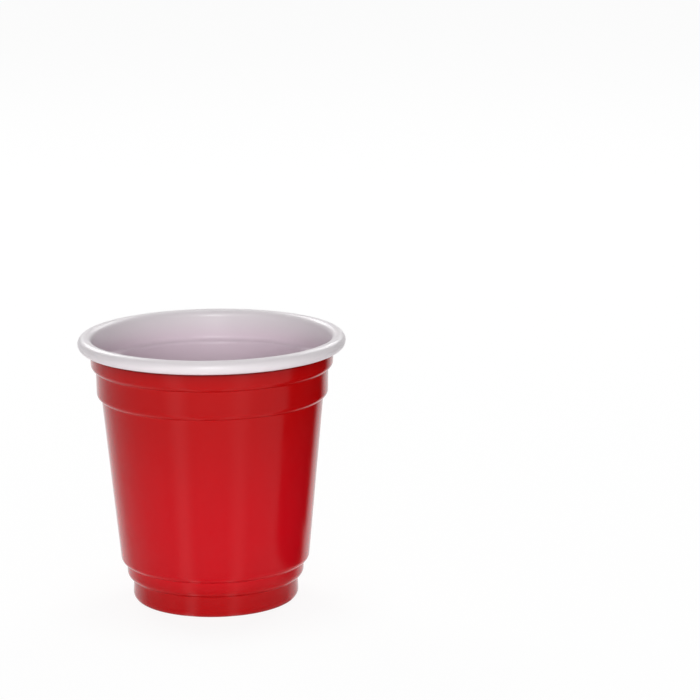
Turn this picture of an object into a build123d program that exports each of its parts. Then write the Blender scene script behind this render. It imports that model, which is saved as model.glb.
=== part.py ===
"""A small stackable shot cup, thermoformed in one piece from thin two-colour sheet.

Millimetres, +Z up. The origin is the centre of the foot, on the plane that the cup stands on.
The outside face of the sheet is drawn in section, from the centre of the base up to the lip,
and thickened inwards. At the lip the sheet rolls over outwards, as far as the underside of the bead.
"""
import os
from math import asin, atan2, degrees, radians, sqrt, tan

from build123d import *

# Overall sizes
cup_height = 51.7
lip_diameter = 51.0
foot_diameter = 31.9
sheet_wall = 0.4

# Base: a flat ring to stand on, round a panel that is raised off the table
ring_width = 2.55
ring_corner_radius = 0.5
foot_corner_radius = 1.4
panel_rise = 1.2
panel_slope_width = 0.8
panel_corner_radius = 0.6

# Foot: a short band, narrower at its neck than at the table
foot_height = 4.2
foot_waist = 0.15

# Stacking band above the foot: it stands out by its step, and flares a little upwards
band_step = 1.15
band_height = 3.1
band_flare = 0.1

# Main wall: a plain cone from its step above the stacking band to the collar
wall_step = 1.0

# Collar: two bands below the lip, each standing out by a step from what is below it
collar_step = 0.9
lower_collar_height = 5.6
upper_collar_height = 6.4

# A step is a tight crease, a sloping ledge and a round shoulder, in shares of its width
ledge_angle = 23.0
crease_share = 0.25
shoulder_share = 1.35

# Rolled lip: a bead, open below, that overhangs the shoulder of the upper collar
lip_bead = 2.65
lip_overhang = 2.45
lip_roll_angle = 245.0
lip_centre = Vector(lip_diameter / 2 - lip_bead / 2, cup_height - lip_bead / 2)


class Outline:
    """Corners of the sheet's outside face, with the radius of each, from the axis outwards."""

    def __init__(self):
        self.corners = [Vector(0, panel_rise)]
        self.radii = []

    def corner(self, radius_from_axis, height, corner_radius):
        self.corners.append(Vector(radius_from_axis, height))
        self.radii.append(corner_radius)

    def step(self, neck_radius, height, width):
        """From the crease on the neck below, along the ledge to the shoulder above it."""
        ledge_rise = width * tan(radians(ledge_angle))
        self.corner(neck_radius, height, width * crease_share)
        self.corner(neck_radius + width, height + ledge_rise, width * shoulder_share)


def wall_outline():
    """Base, foot, stacking band, main wall and collar, up to the upper collar's shoulder."""
    foot_radius = foot_diameter / 2
    ring_inner_radius = foot_radius - ring_width
    foot_neck_radius = foot_radius - foot_waist
    band_neck_radius = foot_neck_radius + band_step + band_flare
    band_top = foot_height + band_height

    upper_shoulder_radius = lip_diameter / 2 - lip_overhang
    upper_neck_radius = upper_shoulder_radius - collar_step
    wall_neck_radius = upper_neck_radius - band_flare - collar_step
    lower_collar_top = cup_height - upper_collar_height
    wall_top = lower_collar_top - lower_collar_height

    outline = Outline()
    outline.corner(ring_inner_radius - panel_slope_width, panel_rise, panel_corner_radius)
    outline.corner(ring_inner_radius, 0, ring_corner_radius)
    outline.corner(foot_radius, 0, foot_corner_radius)
    outline.step(foot_neck_radius, foot_height, band_step)
    outline.step(band_neck_radius, band_top, wall_step)
    outline.step(wall_neck_radius, wall_top, collar_step)
    outline.step(upper_neck_radius, lower_collar_top, collar_step)
    return outline


def roll_start(shoulder):
    """Where the upper collar, straight up from its shoulder, meets the roll without a kink."""
    roll_inside_radius = lip_bead / 2 - sheet_wall
    to_centre = lip_centre - shoulder
    aside = degrees(asin(roll_inside_radius / to_centre.length))
    reach = sqrt(to_centre.length**2 - roll_inside_radius**2)
    return shoulder + to_centre.normalized().rotate(Axis.Z, aside) * reach


def wall_section(outline, wall_end):
    """The base and wall in section, from their outside face inwards."""
    outside = FilletPolyline(*outline.corners, wall_end, radius=outline.radii)
    return make_face(offset(outside, sheet_wall, side=Side.LEFT))


def lip_section(wall_end):
    """The rolled lip in section, from the end of the wall to the cut edge."""
    from_centre = wall_end - lip_centre
    start_angle = degrees(atan2(from_centre.Y, from_centre.X))
    middle_radius = lip_bead / 2 - sheet_wall / 2
    middle = CenterArc(lip_centre, middle_radius, start_angle, -lip_roll_angle)
    return trace(middle, line_width=sheet_wall)


def cup():
    """The whole section, turned about the cup's axis."""
    outline = wall_outline()
    wall_end = roll_start(outline.corners[-1])
    section = wall_section(outline, wall_end) + lip_section(wall_end)
    return revolve(Plane.XZ * section, Axis.Z)


os.makedirs("parts", exist_ok=True)
export_step(cup(), "parts/cup.step")
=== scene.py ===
"""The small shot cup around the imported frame: its red and white sheet, the studio and the camera.

Metres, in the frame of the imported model: +Z up, the origin at the centre of the foot.
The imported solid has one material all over, but the sheet has two colours. So its section is
turned again here, to the same sizes, as a closed mesh that is red on the outside face of the
sheet and white on the inside face, which also covers the rolled lip.
"""
from math import asin, atan2, ceil, cos, degrees, pi, radians, sin, tan

import bmesh
import bpy
from mathutils import Matrix, Vector


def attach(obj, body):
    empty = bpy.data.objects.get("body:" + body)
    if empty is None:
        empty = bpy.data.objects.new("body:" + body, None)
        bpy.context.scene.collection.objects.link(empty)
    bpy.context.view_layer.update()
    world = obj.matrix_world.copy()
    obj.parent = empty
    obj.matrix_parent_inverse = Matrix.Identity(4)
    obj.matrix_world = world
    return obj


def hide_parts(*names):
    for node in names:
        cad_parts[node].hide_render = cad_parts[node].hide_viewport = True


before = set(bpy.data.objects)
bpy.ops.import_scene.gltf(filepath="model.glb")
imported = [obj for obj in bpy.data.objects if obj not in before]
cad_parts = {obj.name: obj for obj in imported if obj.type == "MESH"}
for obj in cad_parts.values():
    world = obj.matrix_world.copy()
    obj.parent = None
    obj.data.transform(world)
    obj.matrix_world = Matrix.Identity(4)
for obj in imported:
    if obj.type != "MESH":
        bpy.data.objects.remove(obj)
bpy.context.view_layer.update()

MM = 0.001

# Sizes of the cup, in millimetres, as in the part's source
cup_height = 51.7
lip_diameter = 51.0
foot_diameter = 31.9
sheet_wall = 0.4

ring_width = 2.55
ring_corner_radius = 0.5
foot_corner_radius = 1.4
panel_rise = 1.2
panel_slope_width = 0.8
panel_corner_radius = 0.6

foot_height = 4.2
foot_waist = 0.15

band_step = 1.15
band_height = 3.1
band_flare = 0.1

wall_step = 1.0

collar_step = 0.9
lower_collar_height = 5.6
upper_collar_height = 6.4

ledge_angle = 23.0
crease_share = 0.25
shoulder_share = 1.35

lip_bead = 2.65
lip_overhang = 2.45
lip_roll_angle = 245.0

# How finely the mesh follows the section: angles in degrees, lengths in millimetres
segments_around = 240
degrees_per_facet = 9.0
degrees_per_lip_facet = 7.5
degrees_per_cut_edge_facet = 30.0
cut_edge_rounding = 0.06
first_gap = 0.12
gap_growth = 2.2
nearly_zero = 1e-6


# The section: points of the sheet's outside face with the direction they run in

def turned(direction, angle):
    """The direction turned by an angle in degrees, to the left if positive."""
    c, s = cos(radians(angle)), sin(radians(angle))
    return Vector((direction.x * c - direction.y * s, direction.x * s + direction.y * c))


def outline_corners():
    """Corners of the outside face and the radius of each, from the axis to the upper collar."""
    foot_radius = foot_diameter / 2
    ring_inner_radius = foot_radius - ring_width
    foot_neck_radius = foot_radius - foot_waist
    band_neck_radius = foot_neck_radius + band_step + band_flare
    band_top = foot_height + band_height

    upper_shoulder_radius = lip_diameter / 2 - lip_overhang
    upper_neck_radius = upper_shoulder_radius - collar_step
    wall_neck_radius = upper_neck_radius - band_flare - collar_step
    lower_collar_top = cup_height - upper_collar_height
    wall_top = lower_collar_top - lower_collar_height

    corners = [
        (0, panel_rise, 0),
        (ring_inner_radius - panel_slope_width, panel_rise, panel_corner_radius),
        (ring_inner_radius, 0, ring_corner_radius),
        (foot_radius, 0, foot_corner_radius),
    ]
    for neck_radius, height, width in (
        (foot_neck_radius, foot_height, band_step),
        (band_neck_radius, band_top, wall_step),
        (wall_neck_radius, wall_top, collar_step),
        (upper_neck_radius, lower_collar_top, collar_step),
    ):
        ledge_rise = width * tan(radians(ledge_angle))
        corners.append((neck_radius, height, width * crease_share))
        corners.append((neck_radius + width, height + ledge_rise, width * shoulder_share))
    return [(Vector((r, z)), radius) for r, z, radius in corners]


def arc(start, direction, radius, angle, step):
    """Points of an arc that leaves start in a direction and turns by an angle, left if positive."""
    side = 1 if angle > 0 else -1
    to_centre = turned(direction, 90 * side) * radius
    centre = start + to_centre
    count = max(1, ceil(abs(angle) / step))
    return [
        (centre - turned(to_centre, angle * i / count), turned(direction, angle * i / count))
        for i in range(count + 1)
    ]


def run(start, end):
    """Points along a straight, close together at its ends, where it meets an arc."""
    length = (end - start).length
    marks, gap, reach = [], first_gap, 0
    while reach + gap < length / 2:
        reach += gap
        marks.append(reach)
        gap *= gap_growth
    marks += [length - m for m in reversed(marks)]
    direction = (end - start).normalized()
    return [(start + direction * m, direction) for m in marks]


def outside_face():
    """The whole outside face, from the axis through the lip's roll to the sheet's cut edge."""
    corners = outline_corners()
    lip_centre = Vector((lip_diameter / 2 - lip_bead / 2, cup_height - lip_bead / 2))
    roll_inside_radius = lip_bead / 2 - sheet_wall

    shoulder = corners[-1][0]
    to_centre = lip_centre - shoulder
    aside = degrees(asin(roll_inside_radius / to_centre.length))
    reach = (to_centre.length_squared - roll_inside_radius ** 2) ** 0.5
    wall_end = shoulder + turned(to_centre.normalized(), aside) * reach

    here = corners[0][0]
    points = [(here, Vector((1, 0)))]
    ends = [corner for corner, _ in corners[1:]] + [wall_end]
    for (corner, radius), after in zip(corners[1:], ends[1:]):
        direction = (corner - here).normalized()
        onward = (after - corner).normalized()
        bend = degrees(atan2(direction.cross(onward), direction.dot(onward)))
        start = corner - direction * radius * tan(radians(abs(bend) / 2))
        points += run(here, start)
        points += arc(start, direction, radius, bend, degrees_per_facet)
        here = points[-1][0]
    points += run(here, wall_end)

    direction = (wall_end - shoulder).normalized()
    points += arc(wall_end, direction, roll_inside_radius, -lip_roll_angle, degrees_per_lip_facet)
    return points


def section():
    """The closed section as (radius, height, white) from the axis below to the axis above."""
    outside = outside_face()
    inside = [(p + turned(d, 90) * sheet_wall, d) for p, d in outside]

    # The cut edge: its two corners are slightly rounded
    end, direction = outside[-1]
    start = end - direction * cut_edge_rounding
    first = arc(start, direction, cut_edge_rounding, 90, degrees_per_cut_edge_facet)
    start, direction = first[-1]
    across = sheet_wall - 2 * cut_edge_rounding
    middle = start + direction * across / 2
    start = start + direction * across
    second = arc(start, direction, cut_edge_rounding, 90, degrees_per_cut_edge_facet)

    red = [p for p, _ in outside[:-1]] + [p for p, _ in first] + [middle]
    white = [p for p, _ in second] + [p for p, _ in reversed(inside[:-1])]
    return [(p.x, p.y, False) for p in red] + [(p.x, p.y, True) for p in white]


def cup_mesh(name):
    """The section turned about the axis, with material 0 outside and 1 inside."""
    points = section()
    mesh = bmesh.new()
    rings = []
    for radius, height, _ in points:
        if radius < nearly_zero:
            rings.append([mesh.verts.new((0, 0, height * MM))])
            continue
        ring = []
        for k in range(segments_around):
            a = 2 * pi * k / segments_around
            ring.append(mesh.verts.new((radius * cos(a) * MM, radius * sin(a) * MM, height * MM)))
        rings.append(ring)
    for below, above, (_, _, white) in zip(rings, rings[1:], points[1:]):
        for k in range(segments_around):
            n = (k + 1) % segments_around
            if len(below) == 1:
                face = mesh.faces.new((below[0], above[n], above[k]))
            elif len(above) == 1:
                face = mesh.faces.new((below[k], below[n], above[0]))
            else:
                face = mesh.faces.new((below[k], below[n], above[n], above[k]))
            face.material_index = 1 if white else 0
            face.smooth = True
    data = bpy.data.meshes.new(name)
    mesh.to_mesh(data)
    mesh.free()
    piece = bpy.data.objects.new(name, data)
    bpy.context.scene.collection.objects.link(piece)
    return piece


# Materials

class Nodes:
    """Short calls for building a node tree."""

    def __init__(self, tree):
        self.tree = tree
        tree.nodes.clear()

    def new(self, kind, inputs=None, **settings):
        node = self.tree.nodes.new(kind)
        for key, value in settings.items():
            setattr(node, key, value)
        for key, value in (inputs or {}).items():
            self.feed(node.inputs[key], value)
        return node

    def feed(self, socket, value):
        if isinstance(value, bpy.types.NodeSocket):
            self.tree.links.new(value, socket)
        else:
            socket.default_value = value

    def math(self, operation, a, b=0.0, clamp=False):
        node = self.new("ShaderNodeMath", {0: a, 1: b}, operation=operation, use_clamp=clamp)
        return node.outputs[0]

    def ramp(self, value, low, high, to_low=0.0, to_high=1.0):
        """value from low to high, smoothly, as to_low to to_high."""
        inputs = {"Value": value, "From Min": low, "From Max": high,
                  "To Min": to_low, "To Max": to_high}
        node = self.new("ShaderNodeMapRange", inputs, interpolation_type="SMOOTHSTEP")
        return node.outputs["Result"]

    def noise(self, vector, scale, detail):
        inputs = {"Vector": vector, "Scale": scale, "Detail": detail, "Roughness": 0.5}
        return self.new("ShaderNodeTexNoise", inputs).outputs["Fac"]

    def stretched(self, vector, scale):
        return self.new("ShaderNodeMapping", {"Vector": vector, "Scale": scale}).outputs[0]

    def mix(self, factor, a, b):
        """The colour a where factor is 0, and b where it is 1."""
        node = self.new("ShaderNodeMix", {"Factor": factor}, data_type="RGBA")
        self.feed(node.inputs[6], a)
        self.feed(node.inputs[7], b)
        return node.outputs[2]

    def mix_value(self, factor, a, b):
        """The number a where factor is 0, and b where it is 1."""
        inputs = {0: factor, 2: a, 3: b}
        return self.new("ShaderNodeMix", inputs, data_type="FLOAT").outputs[0]

    def scaled(self, vector, scale):
        inputs = {0: vector, "Scale": scale}
        return self.new("ShaderNodeVectorMath", inputs, operation="SCALE").outputs[0]

    def height(self, vector):
        return self.new("ShaderNodeSeparateXYZ", {0: vector}).outputs["Z"]


def colour(red, green, blue):
    return (red, green, blue, 1.0)


def plastic(name, specular):
    """A new material with its nodes, the place on the cup in metres, and its shader."""
    material = bpy.data.materials.new(name)
    material.use_nodes = True
    nodes = Nodes(material.node_tree)
    place = nodes.new("ShaderNodeTexCoord").outputs["Object"]
    shader = nodes.new("ShaderNodeBsdfPrincipled", {"IOR": 1.5, "Specular IOR Level": specular})
    nodes.new("ShaderNodeOutputMaterial", {"Surface": shader.outputs[0]})
    return material, nodes, place, shader


def surface_bump(nodes, place, shader, wave_depth, streak_depth, grain_depth):
    """Slow waves of the thermoformed sheet, faint upright draw lines and a fine grain, in metres.
    """
    wave = nodes.noise(place, scale=55.0, detail=1.0)
    upright = nodes.stretched(place, (900.0, 900.0, 25.0))
    streaks = nodes.noise(upright, scale=1.0, detail=2.0)
    grain = nodes.noise(place, scale=2200.0, detail=2.0)
    height = nodes.math("MULTIPLY", wave, wave_depth)
    height = nodes.math("ADD", height, nodes.math("MULTIPLY", streaks, streak_depth))
    height = nodes.math("ADD", height, nodes.math("MULTIPLY", grain, grain_depth))
    bump = nodes.new("ShaderNodeBump", {"Height": height, "Strength": 1.0, "Distance": 1.0})
    nodes.feed(shader.inputs["Normal"], bump.outputs[0])


def red_plastic():
    """Gloss red outer layer, with painted shade by height: deeper towards the collar and at the
    foot.

    It is also painted darker under the lip, and by half in the lip's groove, as the contact
    shadow that the photograph shows there.
    """
    material, nodes, place, shader = plastic("red_outside", specular=0.3)
    z = nodes.height(place)

    # Painted shading by height: the red is deeper towards the collar and darkest at the foot, and
    # lighter low on the wall, where the floor's light falls.
    painted_lighter_lower_down = nodes.ramp(z, 0.046, 0.014)
    painted_shade_at_foot = nodes.ramp(z, 0.0035, 0.0075, 0.3, 1.0)
    painted_height_shading = nodes.math("MULTIPLY", painted_lighter_lower_down, painted_shade_at_foot)
    shaded_red, lit_red = colour(0.455, 0.0014, 0.0018), colour(0.590, 0.0018, 0.0078)
    base = nodes.mix(painted_height_shading, shaded_red, lit_red)

    cloud = nodes.noise(nodes.stretched(place, (1.0, 1.0, 0.4)), scale=90.0, detail=3.0)
    shade = nodes.ramp(cloud, 0.1, 0.9, 0.97, 1.03)
    # Painted shade under the lip, and a painted shadow at half strength from the lip's groove up
    # over the red inside the roll.
    painted_shade_under_lip = nodes.ramp(z, 0.0466, 0.0490, 1.0, 0.76)
    painted_groove_shadow = nodes.ramp(z, 0.0483, 0.0487, 1.0, 0.5)
    shade = nodes.math("MULTIPLY", shade, painted_shade_under_lip)
    shade = nodes.math("MULTIPLY", shade, painted_groove_shadow)
    nodes.feed(shader.inputs["Base Color"], nodes.scaled(base, shade))

    smear = nodes.noise(place, scale=300.0, detail=3.0)
    nodes.feed(shader.inputs["Roughness"], nodes.ramp(smear, 0.2, 0.8, 0.12, 0.17))
    surface_bump(nodes, place, shader, wave_depth=8e-6, streak_depth=0.8e-6, grain_depth=0.1e-6)
    return material


def white_plastic():
    """Gloss white inner layer: whitest on the lip, and lilac just below it.

    Further down, where the photograph doesn't show it, it is nearly as white as the lip.
    """
    material, nodes, place, shader = plastic("white_inside", specular=0.5)
    z = nodes.height(place)

    below_lip = nodes.ramp(z, 0.0510, 0.0455)
    # Painted light: from 41 mm down to 31 mm the inside turns lighter and less lilac, to lift the
    # shade deep in the cup.
    painted_light_far_down = nodes.ramp(z, 0.041, 0.031)
    lip_white, lilac_white = colour(0.82, 0.775, 0.80), colour(0.75, 0.625, 0.70)
    base = nodes.mix(below_lip, lip_white, lilac_white)
    base = nodes.mix(painted_light_far_down, base, colour(0.81, 0.76, 0.785))

    cloud = nodes.noise(place, scale=45.0, detail=1.0)
    shade = nodes.ramp(cloud, 0.1, 0.9, 0.985, 1.015)
    nodes.feed(shader.inputs["Base Color"], nodes.scaled(base, shade))

    smear = nodes.noise(place, scale=260.0, detail=2.0)
    nodes.feed(shader.inputs["Roughness"], nodes.ramp(smear, 0.1, 0.9, 0.32, 0.38))
    surface_bump(nodes, place, shader, wave_depth=6e-6, streak_depth=0.6e-6, grain_depth=0.1e-6)
    return material


cup = cup_mesh("shot_cup")
cup.data.materials.append(red_plastic())
cup.data.materials.append(white_plastic())
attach(cup, "root")
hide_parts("cup")


# Studio: a pale floor, a white surround and six soft lights round the cup

# What a reflection meets all round the cup, by azimuth in degrees: 0 is the camera's side and
# positive is to its right. The second number of a row is how much of the floor's and the room's
# own light is left there, the third how far it is filled up towards white. The rows were set to
# agree with the bands on the photographed wall: two lighter ones in front, and at the right a
# dark one, a flag that stands for the next stack.
own_light, white_fill = 1, 2
mirrored = (
    (-180, 1.0, 0.9),
    (-155, 1.0, 0.72),
    (-122, 0.68, 0.07),
    (-82, 0.6, 0.0),
    (-49, 0.6, 0.0),
    (-33.5, 0.6, 0.9),
    (-18, 0.6, 0.0),
    (15, 0.6, 0.0),
    (30.5, 0.6, 0.6),
    (46, 0.6, 0.0),
    (78, 0.6, 0.0),
    (86, 0.0, 0.0),
    (139, 0.0, 0.0),
    (160, 1.0, 0.88),
    (180, 1.0, 0.9),
)

# How far from the cup's axis the wall that mirrors the floor is, and the most that this may
# correct an azimuth by, as a share
mirror_radius = 0.0185
most_wall_share = 0.5

# Where the dark flag stands on the floor, and the distances from there over which it fades
flag_foot = (0.052, 0.0, 0.0)
flag_edge = (0.016, 0.026)

# Distances from the cup's axis: reflections keep at least near_cup_light of the floor's own light
# up to the first pair, and the white that the camera sees grows over the second
near_cup = (0.045, 0.060)
near_cup_light = 0.68
foot_surround = (0.016, 0.040)


def by_azimuth(nodes, vector, column, distance=None):
    """The column of the table above for a direction, smoothly between its rows.

    With a distance, the vector is a place on the floor, and its azimuth is corrected for how far
    from the axis the cup's wall is: a ray that the wall mirrors starts there.
    """
    parts = nodes.new("ShaderNodeSeparateXYZ", {0: vector}).outputs
    toward = nodes.math("MULTIPLY", parts["Y"], -1.0)
    angle = nodes.math("ARCTAN2", parts["X"], toward)
    if distance is not None:
        wall_share = nodes.math("DIVIDE", mirror_radius / 2, distance)
        wall_share = nodes.math("MINIMUM", wall_share, most_wall_share)
        angle = nodes.math("DIVIDE", angle, nodes.math("SUBTRACT", 1.0, wall_share))
    share = nodes.math("MULTIPLY_ADD", angle, 0.5 / pi)
    share.node.inputs[2].default_value = 0.5
    ramp = nodes.new("ShaderNodeValToRGB", {0: share})
    ramp.color_ramp.interpolation = "EASE"
    stops = ramp.color_ramp.elements
    while len(stops) < len(mirrored):
        stops.new(0.5)
    for stop, row in zip(stops, mirrored):
        stop.position = (row[0] + 180) / 360
    for stop, row in zip(sorted(stops, key=lambda e: e.position), mirrored):
        stop.color = colour(row[column], row[column], row[column])
    return ramp.outputs["Color"]


def seen_white(nodes, vector, distance=None):
    """Which rays see the white surround: the camera's, and in part those of reflections."""
    path = nodes.new("ShaderNodeLightPath").outputs
    fill = by_azimuth(nodes, vector, white_fill, distance)
    reflected = nodes.math("MULTIPLY", path["Is Glossy Ray"], fill)
    straight = nodes.math("ADD", path["Is Camera Ray"], path["Is Transmission Ray"])
    return nodes.math("ADD", straight, reflected, clamp=True)


def left_over(nodes, vector, least=0.0, distance=None):
    """How much of the studio's own light a ray sees: all, or for a reflection the table's."""
    path = nodes.new("ShaderNodeLightPath").outputs
    reflected = nodes.math("MAXIMUM", by_azimuth(nodes, vector, own_light, distance), least)
    return nodes.mix_value(path["Is Glossy Ray"], 1.0, reflected)


def studio_world(level):
    """A dim even room, white to the rays that see the surround."""
    world = bpy.data.worlds.new("studio")
    world.use_nodes = True
    nodes = Nodes(world.node_tree)
    direction = nodes.new("ShaderNodeTexCoord").outputs["Generated"]
    own = nodes.math("MULTIPLY", left_over(nodes, direction), level)
    both = nodes.mix_value(seen_white(nodes, direction), own, 1.0)
    background = nodes.new("ShaderNodeBackground", {"Color": both, "Strength": 1.0})
    nodes.new("ShaderNodeOutputWorld", {"Surface": background.outputs[0]})
    bpy.context.scene.world = world


def studio_floor(half_width, pale, lit, near_white, far_white):
    """A pale light table: matt, lit from beneath, and white to the rays that see the surround.

    Close to the foot the camera sees less of that white, so the contact shadow stays.
    """
    data = bpy.data.meshes.new("floor")
    w = half_width
    data.from_pydata([(-w, -w, 0), (w, -w, 0), (w, w, 0), (-w, w, 0)], [], [(0, 1, 2, 3)])
    floor = bpy.data.objects.new("floor", data)
    bpy.context.scene.collection.objects.link(floor)
    material = bpy.data.materials.new("pale_floor")
    material.use_nodes = True
    nodes = Nodes(material.node_tree)
    place = nodes.new("ShaderNodeTexCoord").outputs["Object"]

    distance = nodes.new("ShaderNodeVectorMath", {0: place}, operation="LENGTH").outputs["Value"]
    from_flag = nodes.new("ShaderNodeVectorMath", {0: place, 1: flag_foot}, operation="DISTANCE")
    clear_of_flag = nodes.ramp(from_flag.outputs["Value"], *flag_edge)
    near = nodes.ramp(distance, *near_cup, near_cup_light, 0.0)
    share = left_over(nodes, place, nodes.math("MULTIPLY", clear_of_flag, near), distance)
    matt = nodes.new("ShaderNodeBsdfDiffuse", {"Color": nodes.math("MULTIPLY", share, pale)})
    glow = nodes.math("MULTIPLY", share, lit)
    table = nodes.new("ShaderNodeEmission", {"Color": colour(1, 1, 1), "Strength": glow})
    own = nodes.new("ShaderNodeAddShader", {0: matt.outputs[0], 1: table.outputs[0]})

    reflection = nodes.new("ShaderNodeLightPath").outputs["Is Glossy Ray"]
    far = nodes.ramp(distance, *foot_surround, near_white, far_white)
    far = nodes.math("MAXIMUM", far, reflection)
    filled = nodes.math("MULTIPLY", seen_white(nodes, place, distance), far)
    white = nodes.new("ShaderNodeEmission", {"Color": colour(1, 1, 1), "Strength": 1.0})
    both = nodes.new("ShaderNodeMixShader", {0: filled, 1: own.outputs[0], 2: white.outputs[0]})
    nodes.new("ShaderNodeOutputMaterial", {"Surface": both.outputs[0]})
    data.materials.append(material)


def soft_light(name, azimuth, elevation, distance, width, height, power):
    """An area light that faces the cup. Its angles are in degrees, as in the table above."""
    data = bpy.data.lights.new(name, "AREA")
    data.shape, data.size, data.size_y = "RECTANGLE", width, height
    data.energy = power
    light = bpy.data.objects.new(name, data)
    a, e = radians(azimuth), radians(elevation)
    spot = Vector((sin(a) * cos(e), -cos(a) * cos(e), sin(e))) * distance
    aim = Vector((0, 0, cup_height / 2 * MM))
    light.location = spot + aim
    light.rotation_euler = (-spot).to_track_quat("-Z", "Y").to_euler()
    bpy.context.scene.collection.objects.link(light)


studio_world(level=0.08)
studio_floor(half_width=3.0, pale=0.8, lit=0.26, near_white=0.87, far_white=0.95)

# Name, azimuth, elevation, distance, width, height, power
for light in (
    ("light_left", -33, 16, 0.75, 0.28, 0.20, 0.33),
    ("light_right", 30, 19, 0.75, 0.24, 0.20, 0.24),
    ("light_front", 0, 14, 0.9, 0.25, 0.2, 4.15),
    ("light_above", 180, 80, 0.75, 0.35, 0.35, 1.0),
    ("light_back_left", -150, 35, 0.75, 0.3, 0.3, 2.05),
    ("light_back_right", 150, 35, 0.75, 0.3, 0.3, 1.75),
):
    soft_light(*light)


# Camera, fitted to the photograph: pixels of its 700 x 700 frame, angles in degrees
frame_pixels = 700
sensor_width = 36.0
focal_pixels = 3200
pitch = 12.14
roll = 0.5
foot_pixel = (216.3, 595.0)
foot_depth = 0.6199

camera = bpy.data.objects.new("camera", bpy.data.cameras.new("camera"))
camera.data.sensor_width = sensor_width
camera.data.lens = focal_pixels * sensor_width / frame_pixels
camera.data.dof.use_dof = False
axes = Matrix.Rotation(radians(90 - pitch), 3, "X") @ Matrix.Rotation(radians(-roll), 3, "Z")
camera.rotation_euler = axes.to_euler()
foot_right = (foot_pixel[0] - frame_pixels / 2) / focal_pixels * foot_depth
foot_down = (foot_pixel[1] - frame_pixels / 2) / focal_pixels * foot_depth
camera.location = -(axes @ Vector((foot_right, -foot_down, -foot_depth)))
bpy.context.scene.collection.objects.link(camera)
bpy.context.scene.camera = camera

bpy.context.scene.view_settings.view_transform = "Standard"

bpy.context.view_layer.update()
